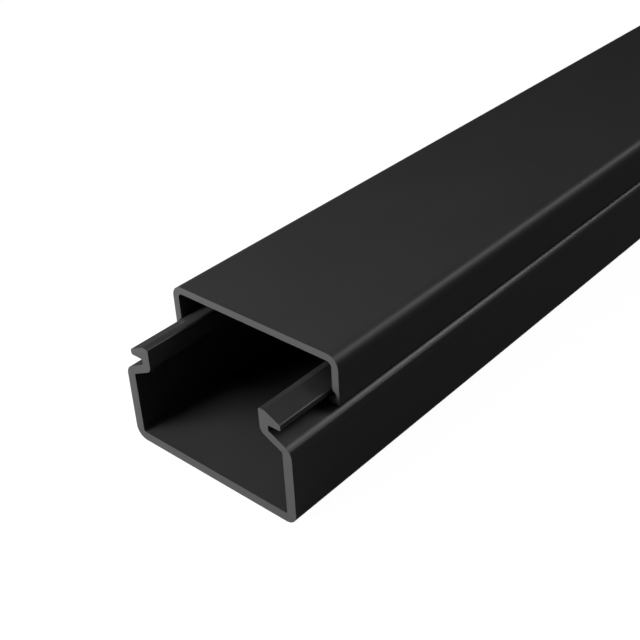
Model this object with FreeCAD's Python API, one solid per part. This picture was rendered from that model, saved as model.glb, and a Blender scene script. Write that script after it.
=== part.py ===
import FreeCAD, Part

import math
import os

# Two-piece cord cover raceway: a channel that is fixed to a wall or floor and a cover
# that snaps over its two barbed rims. Both pieces are straight lengths of one section.
# Millimetres. X runs across the width, Y along the length, Z up from the mounting face.
# The origin is the middle of the underside of the channel.

# Overall sizes
length = 1000.0           # channel and cover are cut to the same length
width = 25.0              # over the channel walls
height = 17.0             # from the underside to the top of the cover
cover_setback = 7.8       # how far the cover stands back from the front end of the channel

# Channel
floor_thick = 1.2
wall_thick = 1.25
wall_height = 9.85        # where the slope of the ledge meets the outer face of the wall
foot_radius = 1.5         # outer corner between floor and wall
shoulder_radius = 1.5     # outer corner between wall and ledge
inner_radius = 0.2        # small inside corners left by the die
ledge_angle = 26.5        # the ledge rises towards the middle by this many degrees
ledge_thick = 1.0
neck_thick = 1.2
neck_radius = 1.0         # inside bend from the ledge into the neck
slot_height = 0.72        # height of the undercut at the neck
barb_reach = 1.75         # how far the barb stands out from the neck
barb_height = 1.7         # from the underside of the barb to its top
barb_tip_height = 0.7
barb_land = 0.85          # flat top of the barb
barb_tip_radius = 0.25
barb_top_radius = 0.3

# Cover
cover_thick = 0.9
cover_inset = 0.2         # the cover stands this much inside the channel wall on each side
cover_radius = 1.5        # outer top corner
barb_gap = 0.15           # running gap between the barb and the cover
skirt_thick = 0.45        # what is left of the cover wall beside the barb
skirt_clear = 1.15        # from the top of the channel's outer face up to the skirt and lip
lip_catch = 0.4           # how far the lip reaches in under the barb
lip_gap = 0.25            # gap between the lip and the barb above it
edge_radius = 0.15        # small rounded edges of skirt and lip

# Values that follow from the sizes above
half_width = width / 2
slope = math.tan(math.radians(ledge_angle))
ledge_drop = ledge_thick / math.cos(math.radians(ledge_angle))
wall_inner = half_width - wall_thick
cover_half = half_width - cover_inset
cover_inner = cover_half - cover_thick
barb_tip = cover_inner - barb_gap
neck_outer = barb_tip - barb_reach
neck_inner = neck_outer - neck_thick


def ledge_z(x):
    """Height of the upper side of the right ledge at the distance x from the middle."""
    return wall_height + slope * (half_width - x)


slot_floor = ledge_z(neck_outer)
barb_under = slot_floor + slot_height
barb_top = barb_under + barb_height


def channel_half():
    """Corners (x, z, radius) of the right half of the channel, from the foot to the floor."""
    foot = (half_width, 0, foot_radius)
    shoulder = (half_width, wall_height, shoulder_radius)
    slot_root = (neck_outer, slot_floor, inner_radius)
    slot_top = (neck_outer, barb_under, inner_radius)
    tip_low = (barb_tip, barb_under, barb_tip_radius)
    tip_high = (barb_tip, barb_under + barb_tip_height, barb_tip_radius)
    land_outer = (neck_inner + barb_land, barb_top, barb_top_radius)
    land_inner = (neck_inner, barb_top, barb_top_radius)
    bend = (neck_inner, ledge_z(neck_inner) - ledge_drop, neck_radius)
    under_ledge = (wall_inner, ledge_z(wall_inner) - ledge_drop, inner_radius)
    floor_corner = (wall_inner, floor_thick, inner_radius)
    return [foot, shoulder, slot_root, slot_top, tip_low, tip_high,
            land_outer, land_inner, bend, under_ledge, floor_corner]


def cover_half_corners():
    """Corners (x, z, radius) of the right half of the cover, from outer top to inner top."""
    skirt_low = wall_height + skirt_clear
    lip_tip = barb_tip - lip_catch
    lip_top = barb_under - lip_gap
    relief = cover_half - skirt_thick
    relief_top = barb_under + barb_tip_height
    relief_side = relief_top - (relief - cover_inner)
    return [
        (cover_half, height, cover_radius),
        (cover_half, skirt_low, edge_radius),
        (lip_tip, skirt_low, edge_radius),
        (lip_tip, lip_top, edge_radius),
        (relief, lip_top, edge_radius),
        (relief, relief_side, edge_radius),
        (cover_inner, relief_top, edge_radius),
        (cover_inner, height - cover_thick, cover_radius - cover_thick),
    ]


def mirrored(half):
    """Full ring of corners: the right half, then its mirror image back along the left."""
    return half + [(-x, z, r) for x, z, r in reversed(half)]


def section_wire(corners):
    """Closed wire in the XZ plane with an arc tangent to both sides at every corner."""
    points = [FreeCAD.Vector(x, 0, z) for x, z, _ in corners]
    count = len(points)
    edges = []
    for i in range(count):
        before, here, after = points[i - 1], points[i], points[(i + 1) % count]
        entry, exit_, middle = corner_arc(before, here, after, corners[i][2])
        edges.append((entry, middle, exit_))
    shapes = []
    for i in range(count):
        entry, middle, exit_ = edges[i]
        shapes.append(Part.Arc(entry, middle, exit_).toShape())
        next_entry = edges[(i + 1) % count][0]
        shapes.append(Part.LineSegment(exit_, next_entry).toShape())
    return Part.Wire(shapes)


def corner_arc(before, here, after, radius):
    """Start, end and middle point of the arc of this radius that rounds one corner."""
    to_before = (before - here).normalize()
    to_after = (after - here).normalize()
    half_angle = to_before.getAngle(to_after) / 2
    tangent = radius / math.tan(half_angle)
    bisector = (to_before + to_after).normalize()
    centre = here + bisector * (radius / math.sin(half_angle))
    middle = centre - bisector * radius
    return here + to_before * tangent, here + to_after * tangent, middle


def extrusion(corners, start):
    """Straight length of the section, from y = start to y = start + length."""
    face = Part.Face(section_wire(corners))
    face.translate(FreeCAD.Vector(0, start, 0))
    return face.extrude(FreeCAD.Vector(0, length, 0))


def main():
    os.makedirs("parts", exist_ok=True)
    channel = extrusion(mirrored(channel_half()), -length / 2)
    cover = extrusion(mirrored(cover_half_corners()), -length / 2 + cover_setback)
    channel.exportStep("parts/base_channel.step")
    cover.exportStep("parts/snap_cover.step")


main()
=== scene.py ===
import math

import bpy
from mathutils import Matrix, Vector


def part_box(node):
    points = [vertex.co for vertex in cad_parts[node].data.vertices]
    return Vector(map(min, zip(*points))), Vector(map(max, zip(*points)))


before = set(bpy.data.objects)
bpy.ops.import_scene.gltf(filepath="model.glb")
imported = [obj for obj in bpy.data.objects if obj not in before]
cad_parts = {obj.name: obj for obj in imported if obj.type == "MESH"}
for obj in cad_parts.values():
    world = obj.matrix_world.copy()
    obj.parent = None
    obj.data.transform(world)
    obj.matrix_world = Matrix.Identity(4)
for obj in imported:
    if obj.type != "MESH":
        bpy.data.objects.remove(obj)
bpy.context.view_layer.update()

# Lengths are in metres, unless a name says otherwise.
# The cut front end of the channel is at this Y, and the length runs along +Y.
FRONT_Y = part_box("base_channel")[0][1]

# Camera, as in the photograph: seen from the front right and above
CAMERA_PLACE = (0.07268, FRONT_Y - 0.05987, 0.07991)
CAMERA_AZIMUTH = math.radians(42.71)
CAMERA_ELEVATION = math.radians(32.69)
CAMERA_ROLL = math.radians(-3.20)
SENSOR_MM = 36.0
PHOTO_WIDTH = 640
FOCAL_PIXELS = 1097.57
FOCAL_MM = FOCAL_PIXELS / PHOTO_WIDTH * SENSOR_MM
CLIP_START = 0.005
CLIP_END = 50.0

# Shades of the extruded skin and of the sawn ends
SKIN_DARK = (0.035, 0.035, 0.036, 1.0)
SKIN_LIGHT = (0.041, 0.041, 0.042, 1.0)
CUT_DARK = (0.078, 0.078, 0.0795, 1.0)
CUT_LIGHT = (0.0955, 0.0955, 0.097, 1.0)

# Noise on the plastic: scale per metre, stretch of the coordinates along X, Y and Z, and detail
DIE_LINES = (1400.0, (1.0, 0.004, 1.0), 3.0)
MOTTLE = (260.0, (1.0, 0.35, 1.0), 2.0)
GRAIN = (5200.0, (1.0, 0.6, 1.0), 2.0)
SAW_MARKS = (900.0, (0.25, 1.0, 3.0), 4.0)

# A face is a sawn end where its normal has more than this of Y in it.
END_NORMAL = 0.8

# Roughness: what the die lines take off and add, what the mottle adds, and its range on sawn ends
DIE_LINE_ROUGH = 0.03
MOTTLE_ROUGH = (-0.02, 0.03)
CUT_ROUGH = (0.55, 0.68)

# Relief, as shares of the bump's distance
DIE_LINE_RELIEF = 0.35
GRAIN_RELIEF = 0.15
SAW_RELIEF = 1.6
BUMP_DISTANCE = 0.00002
BUMP_STRENGTH = 0.25

SPECULAR_LEVEL = 0.5      # the gloss of an ordinary plastic

# CAD node, offset of its noise so that the two pieces differ, and mean roughness of its skin
FINISHES = (
    ("base_channel", 0.0, 0.29),
    ("snap_cover", 3.7, 0.43),
)

WHITE = (1.0, 1.0, 1.0, 1.0)
PLAIN_WHITE = 0.965       # what the glowing floor and the world behind it look like
FLOOR_GLOW = 0.86         # share of the seen floor that glows; the rest is lit and keeps the shadow
FLOOR_COLOUR = (0.82, 0.82, 0.82, 1.0)    # colour of the lit share
FLOOR_BOUNCE = (0.09, 0.09, 0.09, 1.0)    # colour with which the floor lights the object
FLOOR_GLOSS = 0.027       # share of the floor's white that the glossy plastic mirrors
WORLD_GLOSS = 0.01        # and of the world's white
AMBIENT = 0.005           # strength of the world as a light
FLOOR_HALF = 4.0          # half the side of the floor
FLOOR_DROP = 0.00005      # how far the floor lies below the underside, to keep the faces apart

# Lamps, one a line: name; where it aims, from the front end along the length; azimuth from the
# front, positive to the right, and elevation, in degrees; distance; width and height; spread of
# the beam in degrees; and level, which is how brightly it lights a facing surface where it aims.
# At a level of 1 a colour renders as it is written. The first nine lamps light the part that the
# photograph shows, and the last five light the rest of the length.
LAMPS = (
    ("key_low", 0.00, -28, 9, 0.34, (0.13, 0.07), 180, 0.34),
    ("key_high", 0.00, -33, 28, 0.17, (0.11, 0.06), 180, 1.13),
    ("above_front", 0.00, 0, 85, 0.13, (0.08, 0.08), 180, 0.22),
    ("left_front", 0.00, -90, 35, 0.30, (0.15, 0.15), 180, 0.03),
    ("back_right_near", 0.00, 135, 44, 1.00, (0.20, 0.20), 180, 0.031),
    ("back_right", 0.00, 147, 36, 1.00, (0.20, 0.20), 180, 0.076),
    ("back_right_low", 0.00, 132, 26, 1.00, (0.20, 0.20), 180, 0.040),
    ("back_right_far", 0.00, 165, 27, 1.00, (0.20, 0.20), 180, 0.040),
    ("back_high", 0.00, 145, 50, 1.00, (0.30, 0.25), 180, 0.028),
    ("above_near", 0.34, 0, 90, 0.50, (0.20, 0.30), 30, 0.45),
    ("above_length", 1.10, 0, 90, 0.70, (0.30, 1.20), 60, 0.60),
    ("left_length", 1.15, -90, 28, 0.60, (1.20, 0.20), 50, 1.40),
    ("right_length", 1.15, 90, 28, 0.60, (1.20, 0.20), 50, 1.20),
    ("far_end", 1.00, 165, 27, 0.55, (0.10, 0.08), 30, 1.40),
)
LAMP_AIM_HEIGHT = 0.01


def direction(azimuth, elevation):
    """Unit vector towards these angles in radians, with azimuth 0 at the front."""
    return Vector((math.sin(azimuth) * math.cos(elevation),
                   -math.cos(azimuth) * math.cos(elevation),
                   math.sin(elevation)))


def add_camera():
    """Camera at the photograph's viewing angle, with no shift and no depth of field."""
    back = direction(CAMERA_AZIMUTH, CAMERA_ELEVATION)
    right = Vector((math.cos(CAMERA_AZIMUTH), math.sin(CAMERA_AZIMUTH), 0.0))
    up = back.cross(right)
    rolled_right = math.cos(CAMERA_ROLL) * right + math.sin(CAMERA_ROLL) * up
    rolled_up = math.cos(CAMERA_ROLL) * up - math.sin(CAMERA_ROLL) * right
    turn = Matrix((rolled_right, rolled_up, back)).transposed()
    data = bpy.data.cameras.new("photo_camera")
    data.sensor_width = SENSOR_MM
    data.lens = FOCAL_MM
    data.clip_start = CLIP_START
    data.clip_end = CLIP_END
    camera = bpy.data.objects.new("photo_camera", data)
    camera.matrix_world = Matrix.Translation(CAMERA_PLACE) @ turn.to_4x4()
    bpy.context.scene.collection.objects.link(camera)
    bpy.context.scene.camera = camera


class Nodes:
    """Small helper that fills the node tree of a material or world."""

    # Sockets of a Mix node that mixes colours, whose names aren't unique
    MIX_FACTOR, MIX_FIRST, MIX_SECOND, MIX_RESULT = 0, 6, 7, 2

    def __init__(self, owner):
        owner.use_nodes = True
        self.tree = owner.node_tree
        self.tree.nodes.clear()

    def add(self, kind, **settings):
        """New node with these settings."""
        node = self.tree.nodes.new(kind)
        for name, value in settings.items():
            setattr(node, name, value)
        return node

    def join(self, source, target):
        """Link from an output socket to an input socket."""
        self.tree.links.new(source, target)

    def feed(self, socket, value):
        """Give an input socket a constant, or another node's output."""
        if isinstance(value, bpy.types.NodeSocket):
            self.join(value, socket)
        else:
            socket.default_value = value

    def math(self, operation, first, second=0.0):
        """Result of a Math node. An operation on one value leaves the second out."""
        node = self.add("ShaderNodeMath", operation=operation)
        self.feed(node.inputs[0], first)
        self.feed(node.inputs[1], second)
        return node.outputs[0]

    def noise(self, vector, scale, stretch, detail):
        """Noise between 0 and 1 over the stretched coordinates."""
        mapping = self.add("ShaderNodeMapping")
        mapping.inputs["Scale"].default_value = stretch
        self.join(vector, mapping.inputs["Vector"])
        node = self.add("ShaderNodeTexNoise")
        node.inputs["Scale"].default_value = scale
        node.inputs["Detail"].default_value = detail
        self.join(mapping.outputs["Vector"], node.inputs["Vector"])
        return node.outputs["Fac"]

    def ramp(self, factor, low, high):
        """Value between low and high as the factor runs from 0 to 1."""
        node = self.add("ShaderNodeMapRange")
        node.inputs["To Min"].default_value = low
        node.inputs["To Max"].default_value = high
        self.join(factor, node.inputs["Value"])
        return node.outputs["Result"]

    def mix_colour(self, factor, first, second):
        """Colour between first and second as the factor runs from 0 to 1."""
        node = self.add("ShaderNodeMix", data_type="RGBA")
        self.join(factor, node.inputs[self.MIX_FACTOR])
        self.feed(node.inputs[self.MIX_FIRST], first)
        self.feed(node.inputs[self.MIX_SECOND], second)
        return node.outputs[self.MIX_RESULT]

    def mix_shader(self, factor, first, second):
        """Shader between first and second as the factor runs from 0 to 1."""
        node = self.add("ShaderNodeMixShader")
        for source, socket in zip((factor, first, second), node.inputs):
            self.join(source, socket)
        return node.outputs[0]

    def white_light(self, kind, strength):
        """Plain white Emission or Background shader."""
        node = self.add(kind)
        node.inputs["Color"].default_value = WHITE
        node.inputs["Strength"].default_value = strength
        return node.outputs[0]

    def show(self, kind, shader):
        """Join the shader to the surface of a new output node of this kind."""
        self.join(shader, self.add(kind).inputs["Surface"])


def black_plastic(name, offset, roughness):
    """Extruded black PVC: faint die lines along the length, and paler sawn ends."""
    material = bpy.data.materials.new(name)
    n = Nodes(material)
    place = n.add("ShaderNodeTexCoord")
    shift = n.add("ShaderNodeVectorMath", operation="ADD")
    shift.inputs[1].default_value = (offset, 0.0, offset)
    n.join(place.outputs["Object"], shift.inputs[0])
    at = shift.outputs[0]

    normal = n.add("ShaderNodeSeparateXYZ")
    n.join(place.outputs["Normal"], normal.inputs[0])
    facing_end = n.math("ABSOLUTE", normal.outputs["Y"])
    is_cut = n.math("GREATER_THAN", facing_end, END_NORMAL)
    is_skin = n.math("SUBTRACT", 1.0, is_cut)

    def by_face(on_skin, on_cut):
        """One value on the extruded skin and another on the sawn ends."""
        return n.math("ADD", n.math("MULTIPLY", on_skin, is_skin),
                      n.math("MULTIPLY", on_cut, is_cut))

    die_lines = n.noise(at, *DIE_LINES)
    mottle = n.noise(at, *MOTTLE)
    grain = n.noise(at, *GRAIN)
    saw_marks = n.noise(at, *SAW_MARKS)

    skin = n.mix_colour(mottle, SKIN_DARK, SKIN_LIGHT)
    cut = n.mix_colour(saw_marks, CUT_DARK, CUT_LIGHT)
    colour = n.mix_colour(is_cut, skin, cut)

    lined = n.ramp(die_lines, roughness - DIE_LINE_ROUGH, roughness + DIE_LINE_ROUGH)
    skin_rough = n.math("ADD", lined, n.ramp(mottle, *MOTTLE_ROUGH))
    rough = by_face(skin_rough, n.ramp(saw_marks, *CUT_ROUGH))

    skin_height = n.math("ADD", n.math("MULTIPLY", die_lines, DIE_LINE_RELIEF),
                         n.math("MULTIPLY", grain, GRAIN_RELIEF))
    height = by_face(skin_height, n.math("MULTIPLY", saw_marks, SAW_RELIEF))
    bump = n.add("ShaderNodeBump")
    bump.inputs["Strength"].default_value = BUMP_STRENGTH
    bump.inputs["Distance"].default_value = BUMP_DISTANCE
    n.join(height, bump.inputs["Height"])

    shader = n.add("ShaderNodeBsdfPrincipled")
    shader.inputs["Specular IOR Level"].default_value = SPECULAR_LEVEL
    n.join(colour, shader.inputs["Base Color"])
    n.join(rough, shader.inputs["Roughness"])
    n.join(bump.outputs["Normal"], shader.inputs["Normal"])
    n.show("ShaderNodeOutputMaterial", shader.outputs[0])
    return material


def dress_nodes():
    """The CAD solids stay as they are and get their plastic."""
    for name, offset, roughness in FINISHES:
        material = black_plastic(name + "_plastic", offset, roughness)
        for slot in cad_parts[name].material_slots:
            slot.material = material


def seen_white(n, gloss):
    """1 where the camera or clear plastic looks, less where a glossy surface looks."""
    path = n.add("ShaderNodeLightPath")
    direct = n.math("MAXIMUM", path.outputs["Is Camera Ray"],
                    path.outputs["Is Transmission Ray"])
    mirrored = n.math("MULTIPLY", path.outputs["Is Glossy Ray"], gloss)
    return n.math("MAXIMUM", direct, mirrored)


def add_floor():
    """Pale floor, seen white, that keeps the object's shadow and throws little light back."""
    material = bpy.data.materials.new("studio_floor")
    n = Nodes(material)
    path = n.add("ShaderNodeLightPath")
    lit = n.add("ShaderNodeBsdfDiffuse")
    n.join(n.mix_colour(path.outputs["Is Camera Ray"], FLOOR_BOUNCE, FLOOR_COLOUR),
           lit.inputs["Color"])
    glow = n.white_light("ShaderNodeEmission", PLAIN_WHITE / FLOOR_GLOW)
    glowing = n.math("MULTIPLY", seen_white(n, FLOOR_GLOSS), FLOOR_GLOW)
    n.show("ShaderNodeOutputMaterial", n.mix_shader(glowing, lit.outputs[0], glow))
    half = FLOOR_HALF
    mesh = bpy.data.meshes.new("studio_floor")
    mesh.from_pydata([(-half, -half, 0), (half, -half, 0), (half, half, 0), (-half, half, 0)],
                     [], [(0, 1, 2, 3)])
    mesh.materials.append(material)
    floor = bpy.data.objects.new("studio_floor", mesh)
    floor.location = (0.0, 0.0, -FLOOR_DROP)
    bpy.context.scene.collection.objects.link(floor)


def add_world():
    """World that is seen white and hardly lights the object."""
    world = bpy.data.worlds.new("studio_world")
    n = Nodes(world)
    dim = n.white_light("ShaderNodeBackground", AMBIENT)
    white = n.white_light("ShaderNodeBackground", PLAIN_WHITE)
    n.show("ShaderNodeOutputWorld", n.mix_shader(seen_white(n, WORLD_GLOSS), dim, white))
    bpy.context.scene.world = world


def add_lamps():
    """Rectangular lamps that the camera doesn't see."""
    for name, along, azimuth, elevation, distance, size, spread, level in LAMPS:
        target = Vector((0.0, FRONT_Y + along, LAMP_AIM_HEIGHT))
        away = direction(math.radians(azimuth), math.radians(elevation))
        data = bpy.data.lights.new(name, "AREA")
        data.shape = "RECTANGLE"
        data.size, data.size_y = size
        data.spread = math.radians(spread)
        # A narrower beam needs less energy for the same level where it aims.
        half_beam = math.radians(spread / 2)
        narrowed = 1 - half_beam / math.tan(half_beam)
        data.energy = level * narrowed * (math.pi * distance) ** 2
        lamp = bpy.data.objects.new(name, data)
        lamp.location = target + distance * away
        lamp.rotation_euler = (-away).to_track_quat("-Z", "Y").to_euler()
        lamp.visible_camera = False
        bpy.context.scene.collection.objects.link(lamp)


add_camera()
dress_nodes()
add_floor()
add_world()
add_lamps()

bpy.context.scene.view_settings.view_transform = "Standard"
